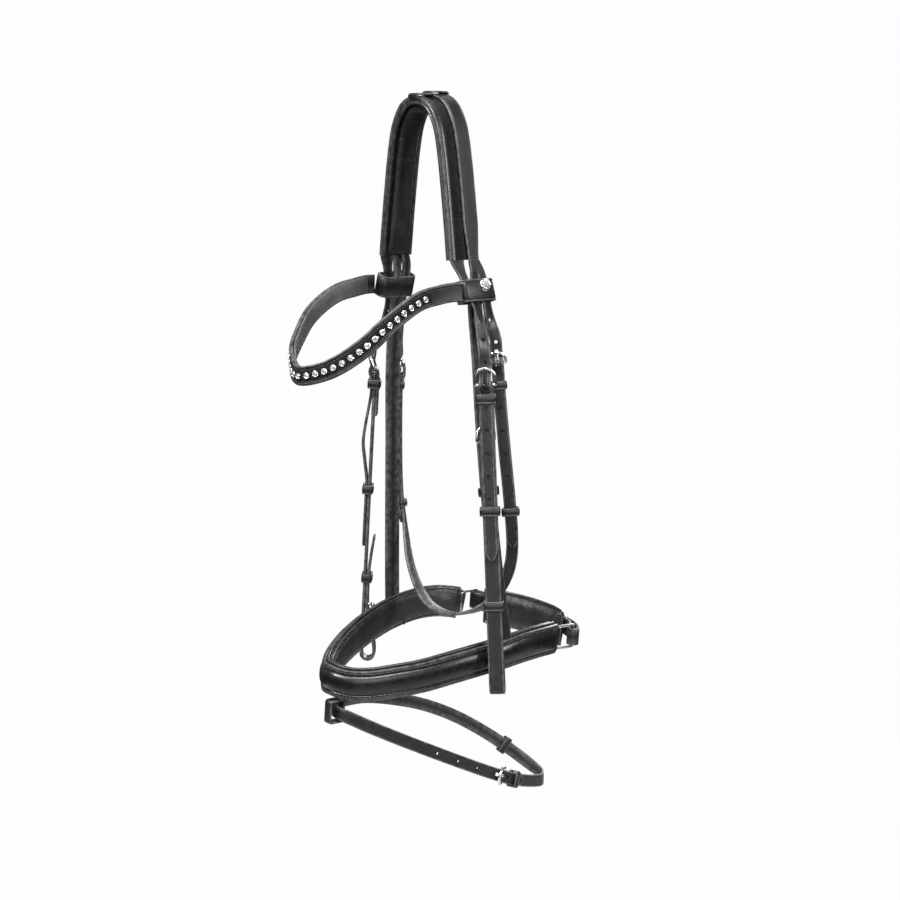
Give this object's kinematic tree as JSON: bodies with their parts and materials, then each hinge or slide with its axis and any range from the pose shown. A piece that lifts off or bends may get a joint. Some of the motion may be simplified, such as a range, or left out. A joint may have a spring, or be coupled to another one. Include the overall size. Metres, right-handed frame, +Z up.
{
  "type": "snaffle bridle",
  "caption": "Black leather snaffle bridle: padded headpiece, curved crystal browband, buckled cheekpieces with open bit loops, throatlash, padded crank noseband and flash strap.",
  "frame": {"origin": "underside of the poll pad at the middle of the headpiece, where it sits on the poll", "axes": "+Z up, the horse faces -Y, the near (left) side is +X"},
  "size_m": [0.226, 0.3245, 0.7233],
  "materials": {
    "leather": "semi-matte black bridle leather with waxed cut edges",
    "browband_leather": "black leather strap with a soft black inlay, rolled edges and stitching",
    "soft_lining": "soft black padded leather with fine wrinkles",
    "steel": "polished stainless steel wire",
    "silver": "polished silver-coloured cups",
    "crystal": "clear cut stones"
  },
  "bodies": {
    "headpiece": {"crown_leather": "leather", "crown_padding": "soft_lining", "noseband_headstrap": "leather", "poll_keeper": "leather"},
    "browband": {"browband_leather": "browband_leather", "browband_lining": "soft_lining", "crystal_cups": "silver", "crystals": "crystal", "near_browband_loop": "leather", "off_browband_loop": "leather", "snap_studs": "silver"},
    "near_cheek": {"near_cheek_billet": "leather", "near_cheekpiece": "leather", "near_cheek_buckle_frame": "steel", "near_cheek_keeper_upper": "leather", "near_bit_keeper": "leather", "near_hook_stud": "steel"},
    "near_cheek_prong": {"near_cheek_buckle_prong": "steel"},
    "near_cheek_runner": {"near_cheek_keeper_lower": "leather"},
    "off_cheek": {"off_cheek_billet": "leather", "off_cheekpiece": "leather", "off_cheek_buckle_frame": "steel", "off_cheek_keeper_upper": "leather", "off_bit_keeper": "leather", "off_hook_stud": "steel"},
    "off_cheek_prong": {"off_cheek_buckle_prong": "steel"},
    "off_cheek_runner": {"off_cheek_keeper_lower": "leather"},
    "throatlash": {"throatlash_strap": "leather", "near_throat_billet": "leather", "near_throat_buckle_frame": "steel", "near_throat_keeper_upper": "leather", "off_throat_billet": "leather", "off_throat_buckle_frame": "steel", "off_throat_keeper_upper": "leather"},
    "near_throat_prong": {"near_throat_buckle_prong": "steel"},
    "near_throat_runner": {"near_throat_keeper_lower": "leather"},
    "off_throat_prong": {"off_throat_buckle_prong": "steel"},
    "off_throat_runner": {"off_throat_keeper_lower": "leather"},
    "noseband": {"near_noseband_hanger": "leather", "off_noseband_hanger": "leather", "noseband_buckle_frame": "steel", "noseband_keeper": "leather", "noseband_leather": "leather", "noseband_padding": "soft_lining", "near_noseband_ring": "steel", "off_noseband_ring": "steel", "flash_loop": "leather"},
    "noseband_prong": {"noseband_buckle_prong": "steel"},
    "chin_strap": {"chin_pad": "soft_lining", "chin_leather": "leather", "crank_strap": "leather", "crank_buckle_frame": "steel", "crank_keeper": "leather"},
    "crank_prong": {"crank_buckle_prong": "steel"},
    "flash": {"flash_strap": "leather", "flash_buckle_frame": "steel", "flash_keepers": "leather"},
    "flash_prong": {"flash_buckle_prong": "steel"}
  },
  "joints": [
    {"name": "browband_slide", "type": "slide", "parent": "headpiece", "child": "browband", "axis": [0, 0, 1], "range_m": [-0.003, 0.003]},
    {"name": "near_cheek_swing", "type": "hinge", "parent": "headpiece", "child": "near_cheek", "pos_m": [0.0674, 0.0065, -0.196], "axis": [0, -1, 0], "range_deg": [0, 20]},
    {"name": "near_cheek_prong_lift", "type": "hinge", "parent": "near_cheek", "child": "near_cheek_prong", "pos_m": [0.0853, 0.0008, -0.266], "axis": [0.7289, 0.6831, 0.0457], "range_deg": [0, 12]},
    {"name": "near_cheek_runner_slide", "type": "slide", "parent": "near_cheek", "child": "near_cheek_runner", "axis": [0.0712, -0.0092, -0.9974], "range_m": [-0.008, 0.008]},
    {"name": "off_cheek_swing", "type": "hinge", "parent": "headpiece", "child": "off_cheek", "pos_m": [-0.0674, 0.0065, -0.196], "axis": [0, 1, 0], "range_deg": [0, 20]},
    {"name": "off_cheek_prong_lift", "type": "hinge", "parent": "off_cheek", "child": "off_cheek_prong", "pos_m": [-0.0853, 0.0008, -0.266], "axis": [0.7289, -0.6831, -0.0457], "range_deg": [0, 12]},
    {"name": "off_cheek_runner_slide", "type": "slide", "parent": "off_cheek", "child": "off_cheek_runner", "axis": [-0.0712, -0.0092, -0.9974], "range_m": [-0.008, 0.008]},
    {"name": "throatlash_swing", "type": "hinge", "parent": "headpiece", "child": "throatlash", "pos_m": [0, 0.0255, -0.196], "axis": [1, 0, 0], "range_deg": [0, 20]},
    {"name": "near_throat_prong_lift", "type": "hinge", "parent": "throatlash", "child": "near_throat_prong", "pos_m": [0.074, 0.026, -0.247], "axis": [0.7165, 0.6928, 0.0819], "range_deg": [0, 12]},
    {"name": "near_throat_runner_slide", "type": "slide", "parent": "throatlash", "child": "near_throat_runner", "axis": [0.046, 0.0816, -0.9956], "range_m": [-0.005, 0.005]},
    {"name": "off_throat_prong_lift", "type": "hinge", "parent": "throatlash", "child": "off_throat_prong", "pos_m": [-0.0745, 0.0265, -0.26], "axis": [0.7096, -0.6917, -0.1343], "range_deg": [0, 12]},
    {"name": "off_throat_runner_slide", "type": "slide", "parent": "throatlash", "child": "off_throat_runner", "axis": [0.0868, 0.0259, -0.9959], "range_m": [-0.005, 0.005]},
    {"name": "noseband_swing", "type": "hinge", "parent": "headpiece", "child": "noseband", "pos_m": [0, 0.028, -0.196], "axis": [1, 0, 0], "range_deg": [-2.5, 0]},
    {"name": "noseband_prong_lift", "type": "hinge", "parent": "noseband", "child": "noseband_prong", "pos_m": [0.07459, 0.01062, -0.32288], "axis": [-0.0018, 0.9998, 0.0205], "range_deg": [0, 12]},
    {"name": "chin_strap_lift", "type": "hinge", "parent": "noseband", "child": "chin_strap", "pos_m": [0.00134, 0.128, -0.52606], "axis": [0.9954, 0, -0.0958], "range_deg": [0, 6]},
    {"name": "crank_prong_lift", "type": "hinge", "parent": "chin_strap", "child": "crank_prong", "pos_m": [0.02496, 0.14668, -0.52714], "axis": [0.1182, 0.0003, 0.993], "range_deg": [0, 12]},
    {"name": "flash_swing", "type": "hinge", "parent": "noseband", "child": "flash", "pos_m": [0, -0.1205, -0.587], "axis": [1, 0, 0], "range_deg": [0, 15]},
    {"name": "flash_prong_lift", "type": "hinge", "parent": "flash", "child": "flash_prong", "pos_m": [0.03009, 0.07438, -0.68077], "axis": [-0.0222, 0.36, 0.9327], "range_deg": [0, 12]}
  ]
}
